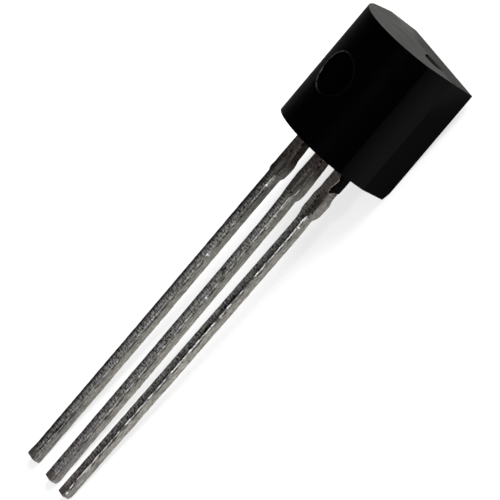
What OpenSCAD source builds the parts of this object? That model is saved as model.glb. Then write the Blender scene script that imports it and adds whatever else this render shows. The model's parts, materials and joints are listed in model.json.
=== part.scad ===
// Small transistor in a moulded three-lead case with one flat side.
//
// Each piece is drawn upright, as it stands on a circuit board: the leads point down, z = 0 is the
// foot of the case, y = 0 is the parting line of its mould and the flat side faces +Y. The metal
// lies just behind the parting line. lie_down() then turns the piece to where the transistor comes
// to rest on a table: on the lower edge of its flat side and on the tips of its leads.
// All sizes are in millimetres, and all angles in degrees.

/* [Case] */
// Width of the case at the parting line of its mould
case_w = 4.62; // [4.3:0.01:4.9]
// Height of the case
case_h = 4.62; // [4.2:0.01:5.2]
// Width of the flat side
flat_w = 4.2; // [3.7:0.01:4.25]
// From the parting line to the flat side
front_depth = 1.23; // [1.1:0.01:1.5]
// From the parting line to the crest of the round back
back_depth = 2.2; // [2:0.01:2.4]
// Width of the case where its round back begins
round_w = 4.08; // [3.8:0.01:4.2]
// From the parting line to where the round back begins
round_start = 1.01; // [0.6:0.01:1.2]
// Slope of the top in front of the parting line, so that the mould lets go
front_draft = 2.4; // [1:0.1:5]
// Slope of the top behind the parting line
back_draft = 1.5; // [0.5:0.1:3]
// Slope of the foot, on both sides of the parting line
foot_draft = 0.5; // [0.2:0.1:2]
// Height of the bevel at the foot of the flat side
bevel_h = 0.3; // [0.1:0.01:0.6]
// Depth of that bevel
bevel_d = 0.1; // [0.02:0.01:0.2]

/* [Marks of the mould] */
// Diameter of the ejector-pin mark on the round back
ejector_d = 1.54; // [1:0.01:1.6]
// Depth of the mark's flat floor below the crest of the back
ejector_depth = 0.17; // [0.17:0.01:0.4]
// Height of the middle of the mark above the foot
ejector_z = 2.32; // [1.5:0.01:3]
// Width of the lip of resin that rose round the pin
lip_w = 0.06; // [0.03:0.01:0.1]
// Height of that lip above the round back
lip_h = 0.02; // [0.01:0.01:0.04]
// Radius of the rounded edge of the scar that the gate left on the top
gate_r = 0.54; // [0.4:0.01:0.7]
// From the middle of the case to the middle of the scar
gate_x = 1.03; // [0:0.01:1.2]
// From the parting line to the farthest point of the scar's edge
gate_reach = 0.4; // [0.3:0.01:0.7]
// Depth of the scar
gate_depth = 0.12; // [0.05:0.01:0.3]
// Length of the tongue of resin that leaked down the side of the right lead
flash_len = 0.85; // [0.2:0.05:1.2]
// Thickness of that tongue
flash_t = 0.04; // [0.02:0.01:0.08]

/* [Leads] */
// Spacing of the leads
pitch = 1.27; // [1.2:0.01:1.4]
// Width of a leg
leg_w = 0.43; // [0.35:0.01:0.5]
// Thickness of the sheet that the leads are stamped from
sheet_t = 0.36; // [0.3:0.01:0.45]
// Length of the left lead below the case
left_len = 14.76; // [8:0.01:20]
// Length of the middle lead below the case
middle_len = 14.68; // [8:0.01:20]
// Length of the right lead below the case
right_len = 14.62; // [8:0.01:20]
// Width of the shoulder where a lead leaves the case
shoulder_w = 0.6; // [0.5:0.01:0.65]
// Length of the shoulder below the case
shoulder_len = 1.12; // [0.8:0.01:1.5]
// Width of the stub that is left of the dam bar
dam_w = 0.68; // [0.62:0.01:0.75]
// Height of that stub
dam_h = 0.57; // [0.4:0.01:0.8]
// Height of the slope between the shoulder and the stub
dam_slope = 0.13; // [0.05:0.01:0.2]
// Height of the slope between the stub and the leg
leg_slope = 0.2; // [0.05:0.01:0.3]
// Sideways bend of the left leg at its tip
left_bend = -0.07; // [-0.3:0.01:0.3]
// Sideways bend of the middle leg at its tip
middle_bend = 0.03; // [-0.3:0.01:0.3]
// Sideways bend of the right leg at its tip
right_bend = -0.25; // [-0.3:0.01:0.3]

/* [Leadframe inside the case] */
// Width left between the notches that lock a lead in the resin
notch_neck_w = 0.36; // [0.3:0.01:0.45]
// Height of the lower edge of the notches above the foot
notch_z = 0.3; // [0.2:0.01:0.4]
// Height of the notches
notch_h = 0.3; // [0.2:0.01:0.35]
// Width of the bonding post on an outer lead
post_w = 0.96; // [0.8:0.01:1.1]
// Height of the lower edge of the posts above the foot
post_z = 0.92; // [0.8:0.01:1]
// Height of a post
post_h = 0.85; // [0.6:0.01:0.95]
// Width of the pad that carries the chip
pad_w = 1.7; // [1.4:0.05:2.2]
// Height of the pad
pad_h = 1.6; // [1.3:0.05:1.8]
// Gap between the posts and the pad
pad_gap = 0.3; // [0.2:0.01:0.4]

/* [Chip and bond wires] */
// Side of the square chip
chip_w = 0.56; // [0.4:0.01:0.8]
// Thickness of the chip
chip_t = 0.22; // [0.15:0.01:0.3]
// Thickness of the solder under the chip
solder_t = 0.03; // [0.02:0.01:0.05]
// Width of the solder that shows round the chip
solder_rim = 0.04; // [0.02:0.01:0.08]
// Diameter of a bond wire
wire_d = 0.05; // [0.03:0.01:0.07]
// Diameter of the ball at the chip end of a wire
ball_d = 0.12; // [0.1:0.01:0.15]
// Radius of the bend where a wire leaves its ball
bend_r = 0.26; // [0.15:0.01:0.4]

/* [Hidden] */
$fn = 96;

// The cutters reach this far past the faces that they cut.
past = 1;

// The crest and the two starts of the round back lie on one circle.
round_rise = back_depth - round_start;
back_r = (pow(round_w / 2, 2) + pow(round_rise, 2)) / (2 * round_rise);
back_middle_y = back_r - back_depth;
// The drafted sides behind the parting line narrow by this much over each millimetre.
side_slope = (case_w - round_w) / 2 / round_start;

// Height at which the bevel meets the flat side
bevel_top_z = bevel_h + front_depth * tan(foot_draft);
flat_top_z = case_h - front_depth * tan(front_draft);

// Heights on a lead, measured down from the foot of the case
dam_top = shoulder_len + dam_slope;
dam_bottom = dam_top + dam_h;
leg_top = dam_bottom + leg_slope;

post_top_z = post_z + post_h;
pad_z = post_top_z + pad_gap;

chip_z = pad_z + pad_h / 2;
chip_top_y = solder_t + chip_t;
bond_x = chip_w / 4;
bond_z = chip_z - chip_w / 4;
post_middle_z = post_z + post_h / 2;
ball_h = wire_d;
stitch_l = 4 * wire_d;
stitch_w = 2 * wire_d;

// The transistor tips forward until the tip of its longest lead meets the table.
longest = max(left_len, middle_len, right_len);
rest_tilt = atan(front_depth / (longest + bevel_top_z));
rest_lift = longest * sin(rest_tilt);
rest_back = max(case_h * cos(rest_tilt), front_depth * sin(rest_tilt) + flat_top_z * cos(rest_tilt));
rest_front = -sheet_t * sin(rest_tilt) - longest * cos(rest_tilt);

resin = [0.1, 0.1, 0.11];
tinned = [0.6, 0.59, 0.56];
silicon = [0.36, 0.38, 0.44];
solder = [0.52, 0.53, 0.55];
gold = [0.86, 0.66, 0.25];

// Turns a piece from upright to its place on the table, with the middle of the whole at the origin.
module lie_down() {
    translate([0, -(rest_back + rest_front) / 2, rest_lift])
        rotate([rest_tilt - 90, 0, 0])
            children();
}

// Extrudes a profile drawn in y and z across the whole width of the case.
module across(width) {
    rotate([90, 0, 90])
        translate([0, 0, -width / 2])
            linear_extrude(width)
                children();
}

// Extrudes an outline drawn in x and z into a sheet that lies behind the parting line.
module sheet(thickness) {
    rotate([90, 0, 0])
        linear_extrude(thickness)
            children();
}

// The half of the case in front of the parting line: drafted on all sides, flat in front.
module front_half() {
    bevel_y = front_depth - bevel_d;
    intersection() {
        linear_extrude(case_h)
            polygon([[-case_w / 2, 0], [case_w / 2, 0], [flat_w / 2, front_depth],
                     [-flat_w / 2, front_depth]]);
        across(case_w + past)
            polygon([[0, 0], [bevel_y, bevel_y * tan(foot_draft)], [front_depth, bevel_top_z],
                     [front_depth, flat_top_z], [0, case_h]]);
    }
}

// The half behind the parting line: two short drafted sides, which run into the round back.
module back_half() {
    reach = back_depth + past;
    narrow = side_slope * reach;
    side_half = round_start / 2;
    intersection() {
        union() {
            // The sides, down to halfway before the round back begins
            linear_extrude(case_h)
                polygon([[-case_w / 2, 0], [case_w / 2, 0],
                         [case_w / 2 - side_slope * side_half, -side_half],
                         [side_slope * side_half - case_w / 2, -side_half]]);
            // The sides from there on, cut off by the round back
            intersection() {
                linear_extrude(case_h)
                    polygon([[side_slope * side_half - case_w / 2, -side_half],
                             [case_w / 2 - side_slope * side_half, -side_half],
                             [case_w / 2 - narrow, -reach],
                             [narrow - case_w / 2, -reach]]);
                translate([0, back_middle_y, 0])
                    cylinder(h = case_h, r = back_r);
            }
        }
        across(case_w + past)
            polygon([[0, 0], [0, case_h], [-reach, case_h - reach * tan(back_draft)],
                     [-reach, reach * tan(foot_draft)]]);
    }
}

// The disc from which the mark leaves a narrow lip, raised above the round back.
module ejector_lip() {
    intersection() {
        translate([0, -round_start, ejector_z])
            rotate([90, 0, 0])
                cylinder(h = back_depth, d = ejector_d + 2 * lip_w);
        translate([0, back_middle_y, 0])
            cylinder(h = case_h, r = back_r + lip_h);
    }
}

// The flat-bottomed mark of the pin that pushes the case out of its mould.
module ejector_mark() {
    translate([0, ejector_depth - back_depth, ejector_z])
        rotate([90, 0, 0])
            cylinder(h = ejector_depth + past, d = ejector_d);
}

// The scar where the resin was broken off at the gate: part of a round, with its straight side on
// the parting line.
module gate_scar() {
    intersection() {
        translate([gate_x, gate_r - gate_reach, case_h - gate_depth])
            cylinder(h = gate_depth + past, r = gate_r);
        translate([gate_x - gate_r - past, -gate_reach - past, case_h - gate_depth - past])
            cube([2 * (gate_r + past), gate_reach + past, gate_depth + 3 * past]);
    }
}

// The tongue of resin on the outer side of the right lead. It tapers to nothing at its lower end.
module flash() {
    side_x = pitch + shoulder_w / 2;
    root_z = back_depth * tan(foot_draft);
    sheet(sheet_t)
        polygon([[side_x, -flash_len], [side_x + flash_t, -flash_len / 2],
                 [side_x + flash_t, root_z], [side_x, root_z]]);
}

// One side of the outline of a lead, from its tip up past the notches, as [x, z]. length is that of
// the lead below the case, and shift moves its tip sideways.
function lead_side(side, length, shift) = [
    [shift + side * leg_w / 2, -length],
    [side * leg_w / 2, -leg_top],
    [side * dam_w / 2, -dam_bottom],
    [side * dam_w / 2, -dam_top],
    [side * shoulder_w / 2, -shoulder_len],
    [side * shoulder_w / 2, notch_z],
    [side * notch_neck_w / 2, notch_z],
    [side * notch_neck_w / 2, notch_z + notch_h],
    [side * shoulder_w / 2, notch_z + notch_h]
];

// The same points from the last to the first
function turned(points) = [for (i = [len(points) - 1 : -1 : 0]) points[i]];

// The outline of a lead up to top_z: leg, stub of the dam bar, shoulder and notches.
module lead_outline(length, shift, top_z) {
    polygon(concat(
        lead_side(1, length, shift),
        [[shoulder_w / 2, top_z], [-shoulder_w / 2, top_z]],
        turned(lead_side(-1, length, shift))
    ));
}

// An outer lead, with a bonding post that grows towards the outside of the case.
module outer_lead(side, length, bend) {
    inner_edge = -shoulder_w / 2;
    post_left = side > 0 ? inner_edge : -inner_edge - post_w;
    translate([side * pitch, 0, 0])
        sheet(sheet_t) {
            lead_outline(length, bend, post_top_z);
            translate([post_left, post_z])
                square([post_w, post_h]);
        }
}

// The middle lead, with the pad that carries the chip.
module middle_lead() {
    sheet(sheet_t) {
        lead_outline(middle_len, middle_bend, pad_z);
        translate([-pad_w / 2, pad_z])
            square([pad_w, pad_h]);
    }
}

// A square plate of the given side and thickness on the front of the pad, with its back at y.
module plate_on_pad(side, thickness, y) {
    translate([-side / 2, y, chip_z - side / 2])
        cube([side, thickness, side]);
}

module chip_block() {
    plate_on_pad(chip_w, chip_t, solder_t);
}

module solder_layer() {
    plate_on_pad(chip_w + 2 * solder_rim, solder_t, 0);
}

// A gold wire from the chip to the post on one side: a ball on the chip, a bend that leaves the
// ball upright, a straight run down to the post, and a stitch pressed flat on the post.
module bond_wire(side) {
    from = [side * bond_x, chip_top_y + ball_h / 2, bond_z];
    to = [side * pitch, wire_d / 2, post_middle_z];
    heading = atan2(to.z - from.z, to.x - from.x);
    run = norm([to.x - from.x, to.z - from.z]);
    fall = from.y - to.y;
    // The straight run touches the bend's circle, whose middle is bend_r beyond the ball.
    reach = norm([run - bend_r, fall]);
    slope = atan2(fall, run - bend_r) + asin(bend_r / reach);
    straight = sqrt(pow(reach, 2) - pow(bend_r, 2));
    translate(from)
        rotate([0, -heading, 0])
            translate([bend_r, 0, 0])
                rotate([0, 0, 90 - slope]) {
                    rotate_extrude(angle = 90 + slope)
                        translate([bend_r, 0])
                            circle(d = wire_d, $fn = 24);
                    translate([bend_r, 0, 0])
                        rotate([90, 0, 0])
                            cylinder(h = straight, d = wire_d, $fn = 24);
                }
    translate([from.x, chip_top_y, from.z])
        rotate([-90, 0, 0])
            cylinder(h = ball_h, d = ball_d, $fn = 32);
    translate([to.x, 0, to.z])
        rotate([0, -heading, 0])
            translate([-stitch_l / 2, 0, -stitch_w / 2])
                cube([stitch_l, wire_d, stitch_w]);
}

// The resin, cast round all the metal.
module case() {
    color(resin)
        lie_down()
            difference() {
                union() {
                    front_half();
                    back_half();
                    ejector_lip();
                    flash();
                }
                ejector_mark();
                gate_scar();
                outer_lead(-1, left_len, left_bend);
                middle_lead();
                outer_lead(1, right_len, right_bend);
                solder_layer();
                chip_block();
                bond_wire(-1);
                bond_wire(1);
            }
}

module lead_left() {
    color(tinned) lie_down() outer_lead(-1, left_len, left_bend);
}

module lead_middle() {
    color(tinned) lie_down() middle_lead();
}

module lead_right() {
    color(tinned) lie_down() outer_lead(1, right_len, right_bend);
}

module chip() {
    color(silicon) lie_down() chip_block();
}

module chip_solder() {
    color(solder) lie_down() solder_layer();
}

module wire_left() {
    color(gold) lie_down() bond_wire(-1);
}

module wire_right() {
    color(gold) lie_down() bond_wire(1);
}

case();
lead_left();
lead_middle();
lead_right();
chip();
chip_solder();
wire_left();
wire_right();
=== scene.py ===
import json
import math
import bmesh
import bpy
from mathutils import Matrix, Vector, noise


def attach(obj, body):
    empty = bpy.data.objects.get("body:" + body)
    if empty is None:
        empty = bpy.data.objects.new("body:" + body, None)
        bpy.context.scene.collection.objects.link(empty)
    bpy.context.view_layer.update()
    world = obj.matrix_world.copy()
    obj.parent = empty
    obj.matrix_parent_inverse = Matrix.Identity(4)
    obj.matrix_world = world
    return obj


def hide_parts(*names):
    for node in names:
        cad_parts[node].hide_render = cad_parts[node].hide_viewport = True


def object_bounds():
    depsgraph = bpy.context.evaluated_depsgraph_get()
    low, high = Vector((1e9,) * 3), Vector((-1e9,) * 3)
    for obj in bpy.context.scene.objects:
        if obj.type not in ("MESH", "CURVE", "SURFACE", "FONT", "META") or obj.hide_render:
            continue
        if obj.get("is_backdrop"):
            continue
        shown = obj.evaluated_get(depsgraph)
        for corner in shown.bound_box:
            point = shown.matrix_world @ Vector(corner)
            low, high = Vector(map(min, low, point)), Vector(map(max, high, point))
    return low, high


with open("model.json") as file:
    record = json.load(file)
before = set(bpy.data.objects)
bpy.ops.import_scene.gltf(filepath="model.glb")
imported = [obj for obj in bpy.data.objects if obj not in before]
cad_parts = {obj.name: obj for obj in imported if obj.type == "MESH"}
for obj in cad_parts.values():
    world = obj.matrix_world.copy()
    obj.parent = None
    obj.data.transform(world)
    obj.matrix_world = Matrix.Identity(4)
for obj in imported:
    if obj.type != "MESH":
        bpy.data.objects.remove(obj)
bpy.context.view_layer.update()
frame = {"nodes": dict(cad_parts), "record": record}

# ---- The camera -----------------------------------------------------------------------------
# A long lens looks down on the round back and on the outer side of the right lead. It is rolled,
# so that the leads run from the upper right to the lower left.
millimetre = 0.001
camera_target = Vector((0.61737, 0.8808, 1.41813)) * millimetre
camera_distance = 0.1845
camera_azimuth = math.radians(11.07)
camera_elevation = math.radians(42.04)
camera_roll = math.radians(-53.74)

camera_data = bpy.data.cameras.new("camera")
camera_data.lens = 401.8
camera_data.sensor_width = 36
camera_data.clip_start = 0.01
camera_data.clip_end = 10
camera = bpy.data.objects.new("camera", camera_data)
camera.matrix_world = (
    Matrix.Translation(camera_target)
    @ Matrix.Rotation(camera_azimuth + math.pi / 2, 4, "Z")
    @ Matrix.Rotation(math.pi / 2 - camera_elevation, 4, "X")
    @ Matrix.Rotation(camera_roll, 4, "Z")
    @ Matrix.Translation((0, 0, camera_distance))
)
bpy.context.collection.objects.link(camera)
bpy.context.scene.camera = camera
bpy.context.scene.view_settings.view_transform = "Standard"

# ---- The leads ------------------------------------------------------------------------------
# Three legs stamped from one strip of copper alloy and tinned. Each keeps the sheared stubs of the
# dam bar that joined it to its neighbours, and runs on inside the resin: the outer ones to a
# bonding post, the middle one to the pad under the chip. Sizes are in millimetres.
sheet_t = 0.36
pitch = 1.27
leg_w = 0.43
shoulder_w = 0.6
shoulder_len = 1.12
dam_h = 0.57
dam_slope = 0.13
leg_slope = 0.2
notch_neck_w = 0.36
notch_z = 0.3
notch_h = 0.3
post_w = 0.96
post_z = 0.92
post_h = 0.85
pad_w = 1.7
pad_h = 1.6
pad_gap = 0.3

dam_top = shoulder_len + dam_slope
dam_bottom = dam_top + dam_h
leg_top = dam_bottom + leg_slope
post_top_z = post_z + post_h
pad_z = post_top_z + pad_gap

# Every piece is drawn upright, as on a circuit board: the leads point down, z = 0 is the foot of
# the case and the flat side faces +Y. The seat mount says how it lies now.
seat = next(mount for mount in frame["record"]["mounts"] if mount["name"] == "board_seat")
up_axis = -Vector(seat["axis"]).normalized()
side_axis = Vector((1, 0, 0))
flat_axis = up_axis.cross(side_axis)
foot_middle = Vector(seat["pos_m"]) + flat_axis * sheet_t / 2 * millimetre
lie_down = (
    Matrix.Translation(foot_middle)
    @ Matrix((side_axis, flat_axis, up_axis)).transposed().to_4x4()
    @ Matrix.Scale(millimetre, 4)
)


def add_piece(name, mesh, finishes, cad_nodes=()):
    """A piece from a mesh in upright millimetres, which rides on the one body."""
    mesh.transform(lie_down)
    mesh.polygons.foreach_set("use_smooth", [True] * len(mesh.polygons))
    for finish in finishes:
        mesh.materials.append(finish)
    piece = bpy.data.objects.new(name, mesh)
    bpy.context.collection.objects.link(piece)
    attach(piece, "root")
    if cad_nodes:
        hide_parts(*cad_nodes)
    return piece


def draw_piece(name, rings, finish, cad_nodes=()):
    """A piece drawn through rings of points, with both of its ends closed."""
    count = len(rings[0])
    points = [point for ring in rings for point in ring]
    faces = []
    for row in range(len(rings) - 1):
        for step in range(count):
            here, there = row * count + step, row * count + (step + 1) % count
            faces.append((here, there, there + count, here + count))
    faces.append(tuple(reversed(range(count))))
    faces.append(tuple(range(len(points) - count, len(points))))
    mesh = bpy.data.meshes.new(name)
    mesh.from_pydata(points, [], faces)
    add_piece(name, mesh, (finish,), cad_nodes)
    mesh.set_sharp_from_angle(angle=math.radians(40))


class Finish:
    """A material with its plain colour and gloss, and ways to add patterns to them, which are
    measured in upright millimetres."""

    def __init__(self, name, colour, roughness, metallic=0.0, specular=0.5):
        self.material = bpy.data.materials.new(name)
        self.material.use_nodes = True
        self.tree = self.material.node_tree
        self.shader = self.tree.nodes["Principled BSDF"]
        self.shader.inputs["Base Color"].default_value = (*colour, 1)
        self.shader.inputs["Roughness"].default_value = roughness
        self.shader.inputs["Metallic"].default_value = metallic
        self.shader.inputs["Specular IOR Level"].default_value = specular
        stand_up = lie_down.inverted()
        self.coordinates = self.add("ShaderNodeTexCoord")
        self.place = self.add(
            "ShaderNodeMapping",
            Vector=self.coordinates.outputs["Object"],
            Location=stand_up.to_translation(),
            Rotation=stand_up.to_euler(),
            Scale=stand_up.to_scale(),
        ).outputs["Vector"]

    def add(self, kind, settings=None, **inputs):
        """A node of that kind, with its settings, and its inputs set or joined by name."""
        node = self.tree.nodes.new(kind)
        for name, value in (settings or {}).items():
            setattr(node, name, value)
        for name, value in inputs.items():
            self.put(node.inputs[name.replace("_", " ")], value)
        return node

    def put(self, socket, value):
        """Joins the socket to another node's, or sets it to a number, a vector or a colour."""
        if isinstance(value, bpy.types.NodeSocket):
            self.tree.links.new(value, socket)
        elif socket.type == "RGBA":
            socket.default_value = (*value, 1)
        else:
            socket.default_value = value

    def wear(self, **inputs):
        """Sets or joins inputs of the shader by name."""
        for name, value in inputs.items():
            self.put(self.shader.inputs[name.replace("_", " ")], value)

    def stretch(self, x, y, z):
        """Upright millimetres, scaled so that a pattern of scale 1 has cells of this size."""
        scale = (1 / x, 1 / y, 1 / z)
        return self.add("ShaderNodeMapping", Vector=self.place, Scale=scale).outputs["Vector"]

    def grain(self, x, y, z, detail=2.0, roughness=0.5):
        """Noise from 0 to 1 with grains x by y by z millimetres."""
        return self.add(
            "ShaderNodeTexNoise", Vector=self.stretch(x, y, z), Scale=1.0, Detail=detail,
            Roughness=roughness,
        ).outputs["Fac"]

    def cells(self, x, y, z):
        """0 along the borders of cells of x by y by z millimetres, more towards their middles."""
        return self.add(
            "ShaderNodeTexVoronoi", {"feature": "DISTANCE_TO_EDGE"}, Vector=self.stretch(x, y, z),
            Scale=1.0,
        ).outputs["Distance"]

    def limits(self, value, low, high, to_low=0.0, to_high=1.0):
        """The value's range from low to high, spread from to_low to to_high and held there."""
        node = self.add("ShaderNodeMapRange", Value=value)
        node.inputs["From Min"].default_value = low
        node.inputs["From Max"].default_value = high
        node.inputs["To Min"].default_value = to_low
        node.inputs["To Max"].default_value = to_high
        return node.outputs["Result"]

    def math(self, operation, first, second):
        node = self.add("ShaderNodeMath", {"operation": operation})
        for socket, value in zip(node.inputs, (first, second)):
            self.put(socket, value)
        return node.outputs["Value"]

    def product(self, value, *others):
        for other in others:
            value = self.math("MULTIPLY", value, other)
        return value

    def vector_math(self, operation, *vectors):
        node = self.add("ShaderNodeVectorMath", {"operation": operation})
        for socket, vector in zip(node.inputs, vectors):
            self.put(socket, vector)
        return node.outputs["Value"]

    def facing(self, direction):
        """1 where the surface faces that way, and 0 where it stands square to it."""
        return self.vector_math("DOT_PRODUCT", self.coordinates.outputs["Normal"], direction)

    def part(self, axis):
        """The upright x, y or z of the point, in millimetres."""
        return self.add("ShaderNodeSeparateXYZ", Vector=self.place).outputs[axis]

    def mix(self, kind, share, first, second):
        node = self.add("ShaderNodeMix", {"data_type": "RGBA", "blend_type": kind})
        self.put(node.inputs["Factor"], share)
        sockets = [socket for socket in node.inputs if socket.type == "RGBA"]
        for socket, colour in zip(sockets, (first, second)):
            self.put(socket, colour)
        return next(socket for socket in node.outputs if socket.type == "RGBA")

    def blend(self, share, first, second):
        """The first colour where share is 0 and the second where it is 1."""
        return self.mix("MIX", share, first, second)

    def multiply(self, colour, factor):
        """The colour, times another colour."""
        return self.mix("MULTIPLY", 1.0, colour, factor)

    def vary(self, colour, value, low, high, at_low, at_high):
        """The colour, times a share that goes from at_low to at_high as value goes from low to
        high."""
        return self.multiply(colour, self.limits(value, low, high, at_low, at_high))

    def shades(self, value, stops):
        """A grey for each value from 0 to 1, by (value, grey) stops."""
        node = self.add("ShaderNodeValToRGB", Fac=value)
        ramp = node.color_ramp.elements
        for place, grey in stops[1:-1]:
            ramp.new(place)
        for element, (place, grey) in zip(ramp, stops):
            element.position = place
            element.color = (grey, grey, grey, 1)
        return node.outputs["Color"]

    def spot(self, middle, half, gaps):
        """1 in a ragged spot round that point, and 0 outside it. gaps is the share of it, from 0 to
        1, that is broken up into flecks."""
        centred = self.add(
            "ShaderNodeMapping", Vector=self.place, Scale=tuple(1 / size for size in half),
            Location=tuple(-at / size for at, size in zip(middle, half)),
        ).outputs["Vector"]
        bites = self.product(self.grain(0.1, 0.1, 0.1), 1.4)
        ragged = self.math("ADD", self.vector_math("LENGTH", centred), bites)
        whole = self.limits(ragged, 1.8, 1.5)
        flecks = self.limits(self.grain(0.09, 0.09, 0.09), 0.46, 0.53, 1 - gaps, 1.0)
        return self.product(whole, flecks)

    def relief(self, height, depth, under=None):
        """A bump that stands depth millimetres high where height is 1."""
        node = self.add("ShaderNodeBump", Height=height, Distance=depth * millimetre)
        if under:
            self.put(node.inputs["Normal"], under)
        return node.outputs["Normal"]


# Where the finish changes along a lead, as heights below the case
tip = (-12.0, -13.0)
lower_half = (-3.0, -8.0)
below_stub = (-4.0, -2.4)
into_stub = (-2.4, -1.9)
on_stub = (-2.3, -1.7)
foot_of_stub = (-2.1, -1.95)
groove_end = (-2.0, -2.3)
over_stub = (-1.65, -1.45)
darkening_from = -4.5

# Depths on its sides, where the back is at -sheet_t and the front at 0
worn_edge_y = (-0.32, -0.335)
groove_back_y = (-0.32, -0.31)
groove_front_y = (-0.26, -0.27)
beside_edge_y = (-0.25, -0.28)
spot_depth = 0.11

tin_hue = (1, 0.98, 0.935)
dull_streak = (0.72, 0.696, 0.62)
pale_streak = (1.24, 1.2, 1.066)
cut_brown = (0.24, 0.21, 0.19)
cut_brown_z = (0.25, 0.18)
untinted = (1.0, 1.0, 1.0)
stub_tints = ((1.16, 1.13, 1.04), (0.93, 0.91, 0.92))


def scaled(colour, brightness):
    return tuple(brightness * part for part in colour)


class Tin(Finish):
    """Dull tin on one lead, with the patterns that its faces share."""

    def __init__(self, name, middle, length, bend, back):
        super().__init__(name, (back, back, back), 0.42, metallic=1.0)
        self.height = self.part("Z")
        self.depth = self.part("Y")
        bent = self.limits(self.height, -leg_top, -length, 0.0, bend)
        self.across = self.math("SUBTRACT", self.math("SUBTRACT", self.part("X"), middle), bent)
        self.ribs = self.grain(0.17, 0.17, 0.06, detail=3.0, roughness=0.65)
        self.seams = self.cells(0.2, 0.2, 0.09)
        self.patches = self.grain(0.5, 0.5, 0.9)
        self.streaks = self.grain(0.045, 0.045, 0.3, detail=3.0, roughness=0.65)
        towards_side = self.facing(side_axis)
        flatness = self.math("ABSOLUTE", self.facing(flat_axis), 0.0)
        self.side_share = self.product(
            self.limits(flatness, 0.6, 0.25), self.limits(towards_side, 0.1, 0.4))
        self.on_edge = self.product(
            self.limits(towards_side, 0.38, 0.62), self.limits(self.depth, *worn_edge_y))

    def broad_faces(self, dull, middling, pale, tones):
        """A crust of short ribs across the lead, with dark seams between its grains. It is smoother
        on the stubs and in patches. Across the back it carries painted shading, darker and lighter
        bands from its left edge to its right one."""
        crust = self.blend(self.limits(self.ribs, 0.42, 0.58), dull, pale)
        crust = self.blend(self.limits(self.seams, 0.07, 0.0, 0.0, 0.6), crust, dull)
        smooth = self.math(
            "ADD", self.limits(self.height, *on_stub, 0.0, 0.5),
            self.limits(self.patches, 0.35, 0.65, 0.0, 0.35))
        crust = self.blend(smooth, crust, middling)
        # Painted shading across the back, from its left edge to its right one
        tone = self.shades(self.limits(self.across, -leg_w / 2, leg_w / 2), tones)
        return self.multiply(crust, tone)

    def worn_edge(self, dull, gleam, gaps, stub_gleam):
        """Painted highlight on the worn, rounded edge of the back: pale colour in short stretches,
        brightest just below the stub and fainter on it and over it."""
        worn_from = 0.22 + 0.2 * gaps
        stretches = self.limits(
            self.grain(0.1, 0.1, 0.22, detail=3.0), worn_from, worn_from + 0.18)
        edge = self.blend(stretches, dull, (gleam, gleam, gleam))
        edge = self.vary(edge, self.height, *below_stub, 1.0, 2.2)
        edge = self.vary(edge, self.height, *foot_of_stub, 1.0, stub_gleam)
        return self.vary(edge, self.height, *over_stub, 1.0, 0.4)

    def sheared_sides(self, side, beside_edge):
        """Fine streaks along the lead, with pits, scratches and a broken dark line under the edge.
        They darken towards the case as painted shade, and next to the edge they carry painted
        light."""
        sheared = self.blend(
            self.limits(self.streaks, 0.38, 0.58), scaled(dull_streak, side),
            scaled(pale_streak, side))
        pits = self.grain(0.05, 0.05, 0.07)
        lines = self.grain(0.05, 0.035, 0.9)
        scratches = self.grain(0.07, 0.07, 0.35)
        gaps = self.grain(0.25, 0.25, 0.35)
        # A broken dark line on the side, just under the edge of the back
        groove = self.product(
            self.limits(self.depth, *groove_back_y), self.limits(self.depth, *groove_front_y),
            self.limits(gaps, 0.49, 0.54), self.limits(self.height, *groove_end))
        for value, low, high, at_low, at_high in (
            # Painted shade: the sides darken towards the case.
            (self.height, *lower_half, 0.8, 1.0),
            # Painted light next to the edge: lighter on the left and middle leads, darker on the
            # right one.
            (self.depth, *beside_edge_y, 1.0, beside_edge),
            (self.patches, 0.35, 0.65, 1.09, 0.92),
            (pits, 0.4, 0.6, 0.84, 1.16),
            (lines, 0.4, 0.6, 0.88, 1.12),
            (scratches, 0.6, 0.68, 1.0, 0.6),
            (groove, 0.0, 1.0, 1.0, 0.25),
        ):
            sheared = self.vary(sheared, value, low, high, at_low, at_high)
        return sheared

    def tint(self, colour, heights, tints):
        """The colour, with its tints of back and side coming in from one height to the other."""
        share = self.limits(self.height, *heights)
        return self.multiply(
            colour, self.blend(share, untinted, self.blend(self.side_share, *tints)))


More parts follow.
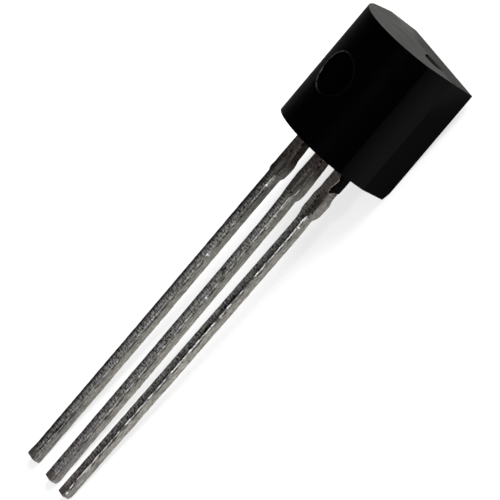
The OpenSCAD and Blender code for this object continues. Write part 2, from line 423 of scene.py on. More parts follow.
def tin_finish(
    name, middle, length, bend, back, side, left_edge, edge_gleam, edge_gaps, stub_gleam,
    beside_edge, near_case, tones, tarnish, stain_end, tip_tints, spots,
):
    """The finish of the lead with that middle, length and bend.

    back, side: how bright those faces are; left_edge: how bright the painted shade
    on the left edge of the back is
    edge_gleam, edge_gaps: how bright the painted highlight on the worn right edge is, and how
    broken that line is (0 to 1)
    stub_gleam: the share of that painted highlight which is left on the stub
    beside_edge: the share of the side's brightness next to that edge, painted light
    above 1 and painted shade below it
    near_case: the height of the lead's darkest point, and the share of brightness left
    there, as painted shade of the case
    tones: the painted shading of the back, from its left edge (0) to its right one (1)
    tarnish, stain_end: the colours of back and side next to the case, brown tarnish with
    painted shade of the case in it, and how far down they reach
    tip_tints: the tints of back and side over the last of the lead
    spots: ragged patches on the back, dark marks and pale and white painted highlights and glints
    (x, z, half width, half height, colour, gaps)
    """
    tin = Tin(name, middle, length, bend, back)
    dull, middling, pale = (scaled(tin_hue, share * back) for share in (0.2, 0.65, 2.3))
    broad = tin.broad_faces(dull, middling, pale, tones)
    # The rounded right edge of the back is given pale colour in stretches: a painted highlight.
    broad = tin.blend(tin.on_edge, broad, tin.worn_edge(dull, edge_gleam, edge_gaps, stub_gleam))
    # The left-facing edge of the back is given a dark colour: painted shade.
    on_left = tin.limits(tin.facing(-side_axis), 0.1, 0.5)
    broad = tin.blend(on_left, broad, (left_edge, left_edge, left_edge))
    clean = tin.blend(tin.side_share, broad, tin.sheared_sides(side, beside_edge))
    # Painted shade of the case: the lead darkens from lower down up to its darkest point.
    darkest_z, darkest = near_case
    clean = tin.vary(clean, tin.height, darkening_from, darkest_z, 1.0, darkest)
    clean = tin.tint(clean, tip, tip_tints)
    clean = tin.tint(clean, into_stub, stub_tints)

    # Brown tarnish up to the case, darkened as painted shade of the case, with a ragged end. On the
    # rounded edge it is darker again: painted shade that hides the edge's glint there.
    ragged = tin.math("ADD", tin.height, tin.product(tin.patches, 0.8))
    stained = tin.limits(ragged, stain_end + 0.2, stain_end + 0.7)
    brown = tin.blend(tin.side_share, *tarnish)
    brown = tin.vary(brown, tin.ribs, 0.38, 0.62, 0.55, 1.4)
    brown = tin.vary(brown, tin.on_edge, 0.0, 1.0, 1.0, 0.5)
    colour = tin.blend(stained, clean, brown)
    for x, z, half_x, half_z, shade, gaps in spots:
        where = tin.spot((x, -sheet_t, z), (half_x, spot_depth, half_z), gaps)
        colour = tin.blend(where, colour, shade)

    # The cut end is browner and darker: partly a brown tint, partly painted shade on the facet that
    # the cutter drew down.
    above_tip = tin.math("ADD", tin.height, length)
    cut = tin.math("ADD", above_tip, tin.product(tin.ribs, -0.12))
    cut = tin.product(tin.limits(cut, *cut_brown_z), tin.math("SUBTRACT", 0.8, tin.side_share))
    rough = tin.limits(tin.ribs, 0.35, 0.65, 0.5, 0.36)
    uneven = tin.relief(tin.ribs, 0.012)
    uneven = tin.relief(tin.limits(tin.seams, 0.0, 0.1), 0.005, uneven)
    side_streaks = tin.product(tin.streaks, tin.side_share)
    tin.wear(
        Base_Color=tin.blend(cut, colour, cut_brown),
        Roughness=tin.math("ADD", rough, tin.product(stained, 0.15)),
        Normal=tin.relief(side_streaks, 0.006, uneven),
    )
    return tin.material


corner_steps = 5
face_steps = 4


def bar_ring(left, right, z, back_roll, front_roll, back=-sheet_t):
    """The points round a flat bar at height z, with the corners of its back and front rounded."""
    ring = []
    corners = (
        (right, 0, front_roll, 0, -1, -1), (left, 0, front_roll, 90, 1, -1),
        (left, back, back_roll, 180, 1, 1), (right, back, back_roll, 270, -1, 1),
    )
    for x, y, roll, start, inward_x, inward_y in corners:
        for step in range(corner_steps + 1):
            angle = math.radians(start + 90 * step / corner_steps)
            ring.append(Vector((
                x + inward_x * roll + roll * math.cos(angle),
                y + inward_y * roll + roll * math.sin(angle), z,
            )))
    spaced = []
    for index, here in enumerate(ring):
        spaced.append(here)
        if index % (corner_steps + 1) == corner_steps:
            there = ring[(index + 1) % len(ring)]
            spaced += [here.lerp(there, step / face_steps) for step in range(1, face_steps)]
    return spaced


def between(z, stations):
    """The value at height z on a line through (height, value) stations that climb."""
    if z <= stations[0][0]:
        return stations[0][1]
    for (low, at_low), (high, at_high) in zip(stations, stations[1:]):
        if z <= high:
            return at_low + (at_high - at_low) * (z - low) / (high - low)
    return stations[-1][1]


corner_blur = 0.02


def course(z, stations):
    """The same with its corners rounded, as on a stamped edge."""
    heights = [z + step * corner_blur for step in (-2, -1, 0, 1, 2)]
    return sum(between(height, stations) for height in heights) / len(heights)


# The same wear in each run
noise.seed_set(5)
wear_depth = 0.012
wear_size = 0.22
burr_length = 0.16
burr_half_w = 0.035
dip_distance = 0.07
dip_half_w = 0.05


def wear_down(point, right, roll, burr, middle):
    """Moves a point of the outline as wear has, and by the burr along the back's right edge."""
    drift = noise.noise_vector(point / wear_size)
    fine = noise.noise(Vector((point.x * 4, point.y * 4, point.z * 9)))
    on_back = point.y < -sheet_t / 2
    point.x += drift.x * wear_depth * (0.5 if on_back else 1)
    point.y += wear_depth * (abs(drift.y) + 0.5 * abs(fine)) * (1 if on_back else -1)
    if on_back:
        # The shear left a ragged burr, its own on each lead, with a shallow dip beside it.
        crest = right - roll * 0.6
        ragged = 0.6 + 0.8 * noise.noise(Vector((middle * 7, 3.1, point.z / burr_length)))
        on_burr = max(0, 1 - abs(point.x - crest) / burr_half_w)
        in_dip = max(0, 1 - abs(point.x - (crest - dip_distance)) / dip_half_w)
        point.y -= burr * max(0, ragged) * on_burr
        point.y += 0.6 * burr * in_dip


ring_gap = 0.04
tip_gap = 0.015
cut_l = 0.3
cut_drop = 0.04
front_roll = 0.05
inner_roll = 0.02


def make_lead(name, cad_node, middle, length, bend, edges, roll, burr, inner_stations, **looks):
    """A lead from its cut tip to the end of its inner stations (height, left, right). bend moves
    its tip to the right. edges are the courses of its left and right edges below the case (height,
    distance from the middle), and roll rounds the edges of its back."""
    left_course, right_course = edges
    heights = []
    z = -length
    while z < 0:
        heights.append(z)
        z += tip_gap if z < -length + cut_l else ring_gap
    heights.append(0)
    rings = []
    for z in heights:
        shift = middle + bend * max(0, -leg_top - z) / (length - leg_top)
        left, right = shift - course(z, left_course), shift + course(z, right_course)
        # The cutter drew the back down over the last of the lead.
        drawn = max(0, 1 - (z + length) / cut_l)
        ring = bar_ring(left, right, z, roll, front_roll, -sheet_t + cut_drop * drawn ** 1.5)
        for point in ring:
            wear_down(point, right, roll, burr, middle)
        rings.append(ring)
    for z, left, right in inner_stations:
        rings.append(bar_ring(left, right, z, inner_roll, inner_roll))
    finish = tin_finish(name + "_tin", middle, length, bend, **looks)
    draw_piece(name, rings, finish, (cad_node,))


def stem(x):
    """The stations of the stem inside the case, from the foot past the notches."""
    shoulder, neck = shoulder_w / 2, notch_neck_w / 2
    return [(height, x - half, x + half) for height, half in (
        (notch_z, shoulder), (notch_z, neck), (notch_z + notch_h, neck),
        (notch_z + notch_h, shoulder),
    )]


def post(x, side):
    """The stations of an outer lead inside the case, up to the end of its bonding post."""
    inner = x - side * shoulder_w / 2
    outer = inner + side * post_w
    left, right = min(inner, outer), max(inner, outer)
    return stem(x) + [
        (post_z, x - shoulder_w / 2, x + shoulder_w / 2), (post_z, left, right),
        (post_top_z, left, right),
    ]


# The left lead: the most tarnished, with the most painted shade near the case, the flattest stub
# and the darkest painted shade on its left edge
# Colours for the spots: two dark ones, and a pale and a white one for painted highlights and
# painted glints on the edges.
burnt = (0.012, 0.01, 0.008)
scorched = (0.06, 0.046, 0.04)
pale = (0.7, 0.7, 0.68)
bright = (1.0, 1.0, 1.0)
make_lead(
    "lead_left_tinned", "lead_left", middle=-pitch, length=14.76, bend=-0.07,
    edges=(
        ((-14.76, 0.33), (-14.6, 0.3), (-14.4, 0.247), (-8, 0.242), (-3, 0.255), (-2.2, 0.25),
         (-1.98, 0.25), (-1.88, 0.33), (-1.8, 0.33), (-1.6, 0.31), (-1.3, 0.305), (0, 0.292)),
        ((-14.76, 0.19), (-14.68, 0.212), (-14, 0.222), (-12.5, 0.225), (-11, 0.233), (-7, 0.235),
         (-5, 0.218), (-3, 0.21), (-2.15, 0.213), (-1.98, 0.225), (-1.86, 0.318), (-1.7, 0.345),
         (-1.5, 0.37), (-1.3, 0.36), (-1.12, 0.295), (-0.9, 0.28), (-0.6, 0.27), (0, 0.27)),
    ),
    roll=0.09, burr=0.006, inner_stations=post(-pitch, -1),
    back=0.535, side=0.26, left_edge=0.03, edge_gleam=0.33, edge_gaps=1, stub_gleam=0.5,
    beside_edge=1.12, near_case=(-3.0, 0.55),
    tones=(
        (0, 0.1), (0.28, 0.25), (0.42, 0.64), (0.53, 1.0), (0.65, 1.15), (0.79, 0.78), (1, 0.45),
    ),
    tarnish=((0.168, 0.146, 0.133), (0.025, 0.0205, 0.0165)), stain_end=-1.3,
    tip_tints=((0.87, 0.85, 0.86), (0.66, 0.66, 0.7)),
    # Besides dark spots, the white ones and the broad grey one just below the stub are painted
    # glints and a painted highlight.
    spots=(
        (-1.0, -0.5, 0.07, 0.13, burnt, 0), (-1.225, -0.97, 0.045, 0.06, burnt, 0),
        (-1.3, -1.2, 0.09, 0.1, burnt, 0.9), (-1.15, -1.57, 0.06, 0.28, (0.3, 0.3, 0.31), 0),
        (-1.2, -3.25, 0.035, 0.035, burnt, 0), (-1.2, -3.47, 0.04, 0.06, burnt, 0.2),
        (-1.23, -3.66, 0.04, 0.035, burnt, 0), (-1.09, -5.47, 0.05, 0.05, bright, 0),
        (-1.07, -2.2, 0.05, 0.35, (0.5, 0.49, 0.47), 0.5), (-1.09, -2.38, 0.04, 0.05, bright, 0),
        (-1.165, -13.25, 0.025, 0.25, burnt, 0), (-1.195, -13.65, 0.025, 0.3, burnt, 0),
        (-1.2, -14.15, 0.025, 0.3, burnt, 0),
    ),
)

# The middle lead: the cleanest
make_lead(
    "lead_middle_tinned", "lead_middle", middle=0, length=14.68, bend=0.03,
    edges=(
        ((-14.68, 0.3), (-14.4, 0.251), (-12.8, 0.243), (-11, 0.234), (-9, 0.218), (-7, 0.212),
         (-5, 0.208), (-3.5, 0.206), (-2.7, 0.225), (-2.25, 0.243), (-1.85, 0.294), (-1.5, 0.32),
         (-1.25, 0.335), (-1, 0.322), (-0.7, 0.308), (0, 0.303)),
        ((-14.68, 0.12), (-14.65, 0.165), (-14.57, 0.205), (-14.4, 0.217), (-12.8, 0.226),
         (-11, 0.239), (-9, 0.246), (-3.5, 0.24), (-2.7, 0.245), (-2.15, 0.238), (-2.03, 0.215),
         (-1.88, 0.335), (-1.7, 0.357), (-1.25, 0.354), (-1, 0.332), (-0.7, 0.308), (-0.35, 0.284),
         (0, 0.284)),
    ),
    roll=0.08, burr=0.008,
    inner_stations=stem(0) + [
        (pad_z, -shoulder_w / 2, shoulder_w / 2), (pad_z, -pad_w / 2, pad_w / 2),
        (pad_z + pad_h, -pad_w / 2, pad_w / 2),
    ],
    back=0.585, side=0.275, left_edge=0.1, edge_gleam=0.52, edge_gaps=1, stub_gleam=0.9,
    beside_edge=1.2, near_case=(-1.5, 0.72),
    tones=(
        (0, 0.4), (0.3, 0.47), (0.43, 0.52), (0.65, 1.22), (0.77, 0.98), (0.88, 0.55), (1, 0.5),
    ),
    tarnish=((0.158, 0.13, 0.119), (0.061, 0.0535, 0.0485)), stain_end=-1.1,
    tip_tints=((0.97, 0.9, 0.96), (0.76, 0.76, 0.8)),
    # Besides dark spots, the white ones and the grey ones along the edge are painted glints and
    # painted highlights.
    spots=(
        (0.24, -0.4, 0.035, 0.05, burnt, 0), (0.3, -0.61, 0.035, 0.05, burnt, 0),
        (0.03, -5.34, 0.08, 0.16, burnt, 0.8), (0.11, -8.26, 0.08, 0.25, burnt, 0.8),
        (0.12, -3.9, 0.025, 0.05, bright, 0), (0.14, -3.78, 0.025, 0.035, bright, 0),
        (0.24, -1.75, 0.06, 0.3, (0.42, 0.42, 0.4), 0), (0.09, -1.85, 0.04, 0.05, burnt, 0),
        (0.22, -2.43, 0.03, 0.05, bright, 0), (0.22, -2.8, 0.03, 0.06, bright, 0),
        (0.24, -6.42, 0.03, 0.05, bright, 0), (0.21, -2.2, 0.07, 0.4, (0.5, 0.49, 0.46), 0.5),
        (0.21, -3.1, 0.07, 0.5, (0.5, 0.49, 0.46), 0.8),
    ),
)

# The right lead: bent in, with the sharpest burr along its outer edge
make_lead(
    "lead_right_tinned", "lead_right", middle=pitch, length=14.62, bend=-0.25,
    edges=(
        ((-14.62, 0.265), (-14.35, 0.225), (-10, 0.202), (-3, 0.207), (-2.6, 0.208),
         (-2.25, 0.217), (-2.05, 0.25), (-1.9, 0.315), (-1.75, 0.335), (-1.5, 0.325), (-1.3, 0.34),
         (-1.12, 0.33), (-1.02, 0.3), (0, 0.31)),
        ((-14.62, 0.09), (-14.59, 0.14), (-14.5, 0.178), (-14.3, 0.19), (-12.7, 0.197),
         (-11, 0.212), (-9, 0.225), (-5, 0.224), (-2.7, 0.219), (-2.25, 0.187), (-2.1, 0.172),
         (-1.98, 0.195), (-1.87, 0.285), (-1.7, 0.35), (-1.5, 0.37), (-1.2, 0.372), (-1.1, 0.32),
         (-1.04, 0.303), (0, 0.303)),
    ),
    roll=0.06, burr=0.016, inner_stations=post(pitch, 1),
    back=0.44, side=0.27, left_edge=0.17, edge_gleam=1.1, edge_gaps=0.85, stub_gleam=0.15,
    beside_edge=0.88, near_case=(-1.5, 1.0),
    tones=(
        (0, 0.95), (0.3, 0.82), (0.53, 0.6), (0.65, 0.55), (0.77, 0.32), (0.85, 0.2), (1, 0.5),
    ),
    tarnish=((0.26, 0.23, 0.21), (0.15, 0.14, 0.13)), stain_end=-1.1,
    tip_tints=((0.98, 0.9, 0.92), (0.84, 0.83, 0.87)),
    # Besides dark spots, the white and pale ones on the edge and at the tip are painted glints and
    # painted highlights.
    spots=(
        (1.25, -1.22, 0.06, 0.08, burnt, 0.5), (1.34, -1.4, 0.12, 0.17, scorched, 1),
        (1.33, -1.75, 0.1, 0.2, scorched, 1), (1.32, -2.05, 0.06, 0.12, burnt, 0.8),
        (1.3, -5.7, 0.06, 0.2, burnt, 0.4), (1.26, -6.1, 0.06, 0.22, burnt, 0.6),
        (1.28, -7.05, 0.06, 0.35, burnt, 0.4), (1.46, -2.05, 0.03, 0.2, pale, 0.7),
        (1.6, -1.55, 0.06, 0.4, (0.24, 0.22, 0.2), 0.5), (1.57, -1.5, 0.03, 0.3, burnt, 1),
        (1.46, -2.42, 0.04, 0.035, bright, 0), (1.385, -6.4, 0.025, 0.06, pale, 0),
        (1.23, -13.3, 0.02, 0.2, pale, 0.4), (1.2, -13.74, 0.02, 0.12, pale, 0.4),
        (1.2, -14.42, 0.04, 0.07, bright, 0),
    ),
)

# ---- The chip and its wires -----------------------------------------------------------------
# A chip sawn from a silicon wafer and soldered to the pad of the middle lead. A gold wire is bonded
# from each of its two contacts to the post of an outer lead, before all of it is cast in resin.
silicon = Finish("diced_silicon", (0.1, 0.11, 0.13), 0.18, metallic=0.6)
circuit = silicon.cells(0.09, 0.09, 0.09)
silicon.wear(Base_Color=silicon.blend(
    silicon.limits(circuit, 0.0, 0.06), (0.25, 0.22, 0.16), (0.07, 0.09, 0.13)))

solder = Finish("soft_solder", (0.4, 0.4, 0.42), 0.35, metallic=1.0)
frosting = solder.grain(0.08, 0.08, 0.08, detail=3.0)
solder.wear(
    Base_Color=solder.blend(frosting, (0.3, 0.3, 0.31), (0.5, 0.5, 0.52)),
    Normal=solder.relief(frosting, 0.004),
)

gold = Finish("gold", (0.85, 0.6, 0.22), 0.25, metallic=1.0)
drawn_marks = gold.grain(0.02, 0.02, 0.02)
gold.wear(Roughness=gold.limits(drawn_marks, 0.3, 0.7, 0.2, 0.35))

for node, finish in (
    ("chip", silicon), ("chip_solder", solder), ("wire_left", gold), ("wire_right", gold),
):
    frame["nodes"][node].data.materials[0] = finish.material

# ---- The case -------------------------------------------------------------------------------
# Black epoxy, cast round the leadframe in a two-part mould: flat in front of the parting line,
# drafted sides and a round back behind it. The back has the mark of an ejector pin and the top the
# scar of the gate.
case_w = 4.62
case_h = 4.62
flat_w = 4.2
front_depth = 1.23
back_depth = 2.2
round_w = 4.08
round_start = 1.01
front_draft = math.radians(2.4)
back_draft = math.radians(1.5)
foot_draft = math.radians(0.5)
bevel_h = 0.3
bevel_d = 0.1
ejector_r = 0.77
ejector_depth = 0.17
ejector_z = 2.32
gate_r = 0.54
gate_x = 1.03
gate_reach = 0.4
gate_depth = 0.12
edge_r = 0.012

round_rise = back_depth - round_start
back_r = ((round_w / 2) ** 2 + round_rise ** 2) / (2 * round_rise)
back_middle_y = back_r - back_depth


def resin_finish(name, colour, roughness, specular, shine=None, dull_spot=None):
    """Black epoxy with the fine grain of the mould. shine is how its gloss changes: the way that it
    changes in, and its levels at distances that way. dull_spot is the middle and the half size of a
    patch with little gloss."""
    resin = Finish(name, colour, roughness, specular=specular)
    fine = resin.grain(0.05, 0.05, 0.05)
    broad = resin.grain(0.9, 0.9, 0.9, detail=4.0)
    clouds = resin.limits(broad, 0.35, 0.65)
    resin.wear(
        Base_Color=resin.blend(clouds, colour, scaled(colour, 1.5)),
        Roughness=resin.limits(broad, 0.3, 0.7, roughness - 0.05, roughness + 0.05),
        Normal=resin.relief(fine, 0.002),
    )
    gloss = specular
    if shine:
        way, levels = shine
        start, end = levels[0][0], levels[-1][0]
        distance = resin.vector_math("DOT_PRODUCT", resin.place, way)
        gloss = resin.shades(
            resin.limits(distance, start, end),
            [((place - start) / (end - start), level) for place, level in levels],
        )
    if dull_spot:
        scuff = resin.spot(*dull_spot, 0)
        gloss = resin.product(gloss, resin.limits(scuff, 0.0, 1.0, 1.0, 0.3))
    resin.wear(Specular_IOR_Level=gloss)
    return resin.material


def broken_finish():
    """The same resin where it broke: a grey, grainy face."""
    resin = Finish("broken_epoxy", (0.012, 0.012, 0.01), 0.7, specular=0.2)
    grains = resin.grain(0.09, 0.09, 0.09, detail=4.0, roughness=0.7)
    resin.wear(
        Base_Color=resin.blend(
            resin.limits(grains, 0.35, 0.65), (0.003, 0.003, 0.003), (0.02, 0.021, 0.018)),
        Normal=resin.relief(grains, 0.03),
    )
    return resin.material


def scuffed_finish():
    """The same resin on the lip of the pin's mark, with a painted highlight on its left side: pale
    colour and more gloss, broken up in patches.
    """
    resin = Finish("scuffed_epoxy", (0.02, 0.02, 0.02), 0.5, specular=0.05)
    scuffs = resin.grain(0.14, 0.14, 0.14, detail=3.0)
    on_left = resin.math("POWER", resin.limits(resin.part("X"), 0.25, -0.6), 2.0)
    # The pale left side of the lip is a painted highlight.
    scuffed = resin.product(on_left, resin.limits(scuffs, 0.36, 0.62))
    resin.wear(
        Base_Color=resin.blend(scuffed, (0.0011, 0.0011, 0.0011), (0.043, 0.043, 0.041)),
        Specular_IOR_Level=resin.limits(scuffed, 0.0, 1.0, 0.01, 0.1),
    )
    return resin.material


# The one black resin has its own colour on each face: the top faces are lighter and warmer than the
# near-black back and sides, as painted light.
case_finishes = {
    "back": resin_finish(
        "black_epoxy_back", (0.0002, 0.0002, 0.0003), 0.38, 0.01,
        ((1, 0, 0), (
            (-1.3, 0.0018), (-1.03, 0.0024), (-0.8, 0.004), (-0.57, 0.0094), (-0.33, 0.018),
            (-0.08, 0.01), (0.16, 0.006), (0.88, 0.006), (1.1, 0.004), (1.31, 0.005), (1.51, 0.01),
        ))),
    "front": resin_finish(
        "black_epoxy_front", (0.0004, 0.0004, 0.0005), 0.45, 0.012,
        ((0, -0.8, 1), ((2.7, 0.0115), (3.3, 0.013), (3.6, 0.019), (4.0, 0.0262), (4.5, 0.033)))),
    "top": resin_finish("black_epoxy_top", (0.0085, 0.0081, 0.006), 0.5, 0.057),
    "scar": broken_finish(),
    "lip": scuffed_finish(),
    "top front": resin_finish(
        "black_epoxy_top_front", (0.0065, 0.006, 0.0048), 0.5, 0.019,
        ((1, 1.67, 0), ((-0.7, 0.077), (0.0, 0.019))), ((1.05, 0.08, 4.6), (0.4, 0.22, 0.5))),
    "side": resin_finish(
        "black_epoxy_side", (0.0004, 0.0004, 0.0005), 0.42, 0.024,
        ((0, 1, 0), ((-1.0, 0.024), (-0.3, 0.07)))),
}
finish_numbers = {face: number for number, face in enumerate(case_finishes)}


def foot_z(y):
    """The height of the foot at y, which slopes up both ways from the parting line."""
    return abs(y) * math.tan(foot_draft)


def top_z(y):
    """The height of the top at y, which slopes down both ways from the parting line."""
    return case_h - abs(y) * math.tan(front_draft if y > 0 else back_draft)


def back_y(x):
    """The y of the round back at x."""
    return back_middle_y - math.sqrt(back_r ** 2 - x ** 2)


case = bmesh.new()


def corner(x, y, z):
    return case.verts.new((x, y, z))


def wall(*corners, finish="back"):
    case.faces.new(corners).material_index = finish_numbers[finish]


# The lip that the resin forms round the ejector pin, from the outside in: (radius, height)
lip = ((0.06, 0.0), (0.04, 0.013), (0.022, 0.02), (0.006, 0.013), (0.0, -0.01))
fold_depth = 0.05
fold_angle = math.radians(337)
fold_half_angle = math.radians(20)
mark_draft = 0.01
mark_steps = 40
arc_steps = 20

# Columns of the round back from left to right: outside the mark by angle, inside it where the
# mark's rim has its points
mark_r = ejector_r + lip[0][0]
edge_angle = math.asin(round_w / 2 / back_r)
mark_angle = math.asin(mark_r / back_r)
outer_x = [
    back_r * math.sin(edge_angle + (mark_angle - edge_angle) * step / arc_steps)
    for step in range(arc_steps)
]
mark_x = [-mark_r * math.cos(math.pi * step / mark_steps) for step in range(mark_steps + 1)]
columns = [-x for x in outer_x] + mark_x + outer_x[::-1]
top_row = [corner(x, back_y(x), top_z(back_y(x))) for x in columns]
foot_row = [corner(x, back_y(x), foot_z(back_y(x))) for x in columns]

# The lip's rings, the floor of the mark and its wall
round_steps = 2 * mark_steps
mark_angles = [math.pi * step / mark_steps for step in range(round_steps)]
mark_rings = []
for extra, height in lip:
    mark_ring = []
    for angle in mark_angles:
        # The lip is folded in a little at the lower left.
        folded = fold_depth * max(0, 1 - abs(angle - fold_angle) / fold_half_angle)
        radius = ejector_r + extra - (folded if extra < lip[0][0] else 0)
        x = -radius * math.cos(angle)
        mark_ring.append(corner(x, back_y(x) - height, ejector_z + radius * math.sin(angle)))
    mark_rings.append(mark_ring)
mark_floor_r = ejector_r - mark_draft
mark_floor_y = ejector_depth - back_depth
mark_floor = []
for angle in mark_angles:
    x = -mark_floor_r * math.cos(angle)
    mark_floor.append(corner(x, mark_floor_y, ejector_z + mark_floor_r * math.sin(angle)))
mark_rings.append(mark_floor)
for outside, inside in zip(mark_rings, mark_rings[1:]):
    for step in range(round_steps):
        following = (step + 1) % round_steps
        wall(outside[step], outside[following], inside[following], inside[step],
             finish="back" if inside is mark_floor else "lip")
wall(*mark_floor)

# The round back, column by column
rim = mark_rings[0]
for index in range(len(columns) - 1):
    step = index - arc_steps
    top_left, top_right = top_row[index:index + 2]
    foot_left, foot_right = foot_row[index:index + 2]
    if 0 <= step < mark_steps:
        wall(top_left, top_right, rim[step + 1], rim[step])
        wall(rim[-step % round_steps], rim[-(step + 1) % round_steps], foot_right, foot_left)
    elif step == -1:
        wall(top_left, top_right, rim[0], foot_right, foot_left)
    elif step == mark_steps:
        wall(top_left, top_right, foot_right, foot_left, rim[mark_steps])
    else:
        wall(top_left, top_right, foot_right, foot_left)

# The sides, the flat and its bevel
bevel_y = front_depth - bevel_d
bevel_x = case_w / 2 - (case_w - flat_w) / 2 * bevel_y / front_depth
bevel_top_z = bevel_h + foot_z(front_depth)
side_corners = {}
for side, end in ((-1, 0), (1, -1)):
    side_corners[side] = (
        corner(side * case_w / 2, 0, 0), corner(side * bevel_x, bevel_y, foot_z(bevel_y)),
        corner(side * flat_w / 2, front_depth, bevel_top_z),
        corner(side * flat_w / 2, front_depth, top_z(front_depth)),
        corner(side * case_w / 2, 0, case_h),
    )
    wall(*side_corners[side], finish="front")
    side_foot, *_, side_top = side_corners[side]
    wall(side_foot, side_top, top_row[end], foot_row[end], finish="side")
left_corners, right_corners = side_corners[-1], side_corners[1]
for low in (1, 2, 0):
    wall(left_corners[low], right_corners[low], right_corners[low + 1], left_corners[low + 1],
         finish="front")
wall(left_corners[0], right_corners[0], *reversed(foot_row))

# The top, with the gate's scar behind the parting line
gate_steps = 24
gate_middle_y = gate_r - gate_reach
gate_half = math.acos(gate_middle_y / gate_r)
gate_edge = []
for step in range(gate_steps + 1):
    angle = gate_half * (1 - 2 * step / gate_steps)
    gate_edge.append((
        gate_x + gate_r * math.sin(angle), min(0, gate_middle_y - gate_r * math.cos(angle)),
    ))
gate_rim = [corner(x, y, top_z(y)) for x, y in gate_edge]
gate_floor = [corner(x, y, case_h - gate_depth) for x, y in gate_edge]
for step in range(gate_steps):
    wall(gate_rim[step], gate_rim[step + 1], gate_floor[step + 1], gate_floor[step])
wall(gate_rim[0], gate_rim[-1], gate_floor[-1], gate_floor[0], finish="scar")
wall(*gate_floor, finish="scar")
wall(left_corners[4], *top_row, right_corners[4], *gate_rim, finish="top")
wall(left_corners[3], right_corners[3], right_corners[4], gate_rim[0], gate_rim[-1],
     left_corners[4], finish="top front")
bmesh.ops.recalc_face_normals(case, faces=case.faces)

case_mesh = bpy.data.meshes.new("case_epoxy")
case.to_mesh(case_mesh)
case.free()
case_piece = add_piece("case_epoxy", case_mesh, case_finishes.values(), ("case",))
moulded_edges = case_piece.modifiers.new("moulded_edges", "BEVEL")
moulded_edges.width = edge_r * millimetre
moulded_edges.segments = 3
moulded_edges.limit_method = "ANGLE"
moulded_edges.angle_limit = math.radians(12)
moulded_edges.harden_normals = True

# ---- The flash on the right lead ------------------------------------------------------------
# A thin, dark film of resin that crept out of the mould along the outer side of the right lead. It
# wraps round the edge of the lead's back, thins out downwards and ends ragged.
flash_len = 0.85
flash_t = 0.04
flash_end_t = 0.002
film_t = 0.012
end_rise = 0.12
end_ragged = 0.03
film_rows = 24
film_left = (
    (-0.86, 1.483), (-0.636, 1.473), (-0.43, 1.532), (-0.29, 1.545), (-0.18, 1.47), (0, 1.44),
)
side_x = pitch + shoulder_w / 2

film_rings = []
for row in range(film_rows + 1):
    share = row / film_rows
    z = 0.01 - share * flash_len
    thick = flash_t * min(1, 2 * (flash_len + z) / flash_len) + flash_end_t
    left = between(z, film_left)
    far_x = side_x + thick
    outline = (
        # Over the back, from left to right, and down the outer side
        (left, -sheet_t + 0.004), (left + 0.012, -sheet_t - film_t),
        (side_x - 0.04, -sheet_t - film_t), (side_x - 0.005, -sheet_t - 0.002),
        (side_x + 0.6 * thick, -sheet_t + 0.025), (far_x, -sheet_t + 0.06), (far_x, -0.22),
        (far_x, -0.11), (far_x, -0.02), (side_x + 0.5 * thick, 0),
        # Back again, just under the lead's surface
        (side_x - 0.01, 0), (side_x - 0.01, -sheet_t + 0.03), (side_x - 0.04, -sheet_t + 0.01),
        (left + 0.005, -sheet_t + 0.01),
    )
    film_ring = []
    for x, y in outline:
        ragged = end_ragged * noise.noise(Vector((x * 25, y * 25, 1.7)))
        rise = end_rise * (y + sheet_t) / sheet_t
        film_ring.append((x, y, z + share ** 3 * (rise + ragged)))
    film_rings.append(film_ring)

film = Finish("flash_resin", (0.002, 0.0015, 0.001), 0.5, specular=0.02)
mottle = film.grain(0.1, 0.1, 0.1, detail=3.0)
film.wear(
    Base_Color=film.blend(
        film.limits(mottle, 0.4, 0.65), (0.0006, 0.0005, 0.0004), (0.006, 0.004, 0.003)),
    Normal=film.relief(mottle, 0.01),
)
draw_piece("flash_right", film_rings, film.material)

# The film's thin inner edge shows pale, as a bead from under the case to its lower end.
bead_r = 0.018
bead_steps = 8
bead_y = -sheet_t - 0.008
bead_course = (
    (1.385, -0.283), (1.44, -0.255), (1.5, -0.25), (1.545, -0.3), (1.54, -0.4), (1.505, -0.53),
    (1.473, -0.65), (1.475, -0.75), (1.483, -0.85),
)
last = len(bead_course) - 1
bead_rings = []
for index, (x, z) in enumerate(bead_course):
    before, after = bead_course[max(0, index - 1)], bead_course[min(last, index + 1)]
    along = Vector((after[0] - before[0], 0, after[1] - before[1])).normalized()
    across = Vector((-along.z, 0, along.x))
    radius = bead_r * (0.5 if index in (0, last) else 1)
    bead_ring = []
    for step in range(bead_steps):
        angle = 2 * math.pi * step / bead_steps
        outwards = math.cos(angle) * across + math.sin(angle) * Vector((0, 1, 0))
        bead_ring.append(Vector((x, bead_y, z)) + radius * outwards)
    bead_rings.append(bead_ring)

bead = Finish("thin_flash_resin", (0.4, 0.36, 0.32), 0.5, specular=0.3)
bead_grain = bead.grain(0.08, 0.08, 0.08, detail=3.0)
bead.wear(Base_Color=bead.blend(
    bead.limits(bead_grain, 0.35, 0.6), (0.16, 0.14, 0.12), (0.6, 0.56, 0.5)))
draw_piece("flash_right_edge", bead_rings, bead.material)

# ---- The floor and the lamps ----------------------------------------------------------------
# A plain pale floor in a grey room, with a large soft lamp beyond the top of the case and a small
# one overhead that makes the glint on the edges of the leads.
floor_half = 3
pale_paint = 0.9
seen_paint = 0.4
seen_glow = 0.72

floor_mesh = bpy.data.meshes.new("floor")
floor_mesh.from_pydata(
    [(x * floor_half, y * floor_half, 0) for x, y in ((-1, -1), (1, -1), (1, 1), (-1, 1))],
    [], [(0, 1, 2, 3)],
)
floor = bpy.data.objects.new("floor", floor_mesh)
bpy.context.collection.objects.link(floor)
floor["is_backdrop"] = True

floor_material = bpy.data.materials.new("pale_floor")
floor_material.use_nodes = True
floor_nodes = floor_material.node_tree.nodes
floor_nodes.clear()
join = floor_material.node_tree.links.new


def floor_paint(grey):
    paint = floor_nodes.new("ShaderNodeBsdfDiffuse")
    paint.inputs["Color"].default_value = (grey, grey, grey, 1)
    return paint.outputs["BSDF"]


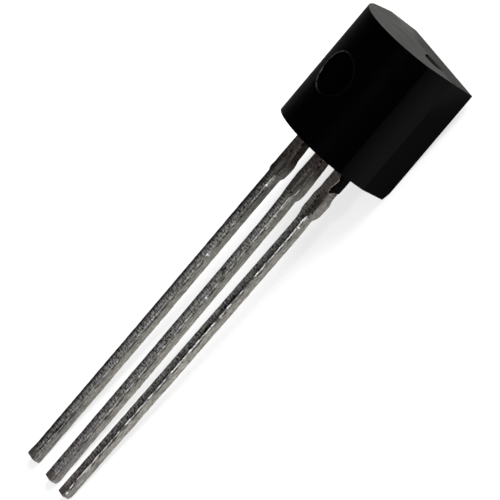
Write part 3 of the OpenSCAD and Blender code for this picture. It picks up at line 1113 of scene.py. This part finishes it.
# The floor lights the part as pale paint does. Where it is seen, also in metal or through glass,
# it is half paint and half glow: almost white, with a faint shadow.
rays = floor_nodes.new("ShaderNodeLightPath")
seen = rays.outputs["Is Camera Ray"]
for kind in ("Is Glossy Ray", "Is Transmission Ray"):
    either = floor_nodes.new("ShaderNodeMath")
    either.operation = "MAXIMUM"
    join(seen, either.inputs[0])
    join(rays.outputs[kind], either.inputs[1])
    seen = either.outputs["Value"]
glow = floor_nodes.new("ShaderNodeEmission")
glow.inputs["Strength"].default_value = seen_glow
paint_and_glow = floor_nodes.new("ShaderNodeAddShader")
join(floor_paint(seen_paint), paint_and_glow.inputs[0])
join(glow.outputs["Emission"], paint_and_glow.inputs[1])
floor_look = floor_nodes.new("ShaderNodeMixShader")
join(seen, floor_look.inputs["Fac"])
join(floor_paint(pale_paint), floor_look.inputs[1])
join(paint_and_glow.outputs["Shader"], floor_look.inputs[2])
floor_surface = floor_nodes.new("ShaderNodeOutputMaterial")
join(floor_look.outputs["Shader"], floor_surface.inputs["Surface"])
floor_mesh.materials.append(floor_material)

# The room is dark to the left and light to the right.
room_dark = 0.06
room_light = 0.5
room = bpy.data.worlds.new("room")
room.use_nodes = True
room_nodes = room.node_tree.nodes
join = room.node_tree.links.new
gaze = room_nodes.new("ShaderNodeSeparateXYZ")
join(room_nodes.new("ShaderNodeTexCoord").outputs["Generated"], gaze.inputs["Vector"])
room_grey = room_nodes.new("ShaderNodeMapRange")
for name, value in (
    ("From Min", -1), ("From Max", 1), ("To Min", room_dark), ("To Max", room_light),
):
    room_grey.inputs[name].default_value = value
join(gaze.outputs["X"], room_grey.inputs["Value"])
join(room_grey.outputs["Result"], room_nodes["Background"].inputs["Color"])
bpy.context.scene.world = room


def soft_lamp(name, direction, distance, size, watts):
    """A round soft lamp in that direction from the middle of the floor, which faces it."""
    data = bpy.data.lights.new(name, "AREA")
    data.shape = "DISK"
    data.size = size
    data.energy = watts
    lamp = bpy.data.objects.new(name, data)
    direction = Vector(direction).normalized()
    lamp.location = direction * distance
    lamp.rotation_mode = "QUATERNION"
    lamp.rotation_quaternion = direction.to_track_quat("Z", "Y")
    bpy.context.collection.objects.link(lamp)


soft_lamp("key", (0, 0.85, 0.53), distance=0.6, size=0.4, watts=5.0)
soft_lamp("glint", (0.35, -0.27, 0.9), distance=0.6, size=0.12, watts=0.6)

low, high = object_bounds()
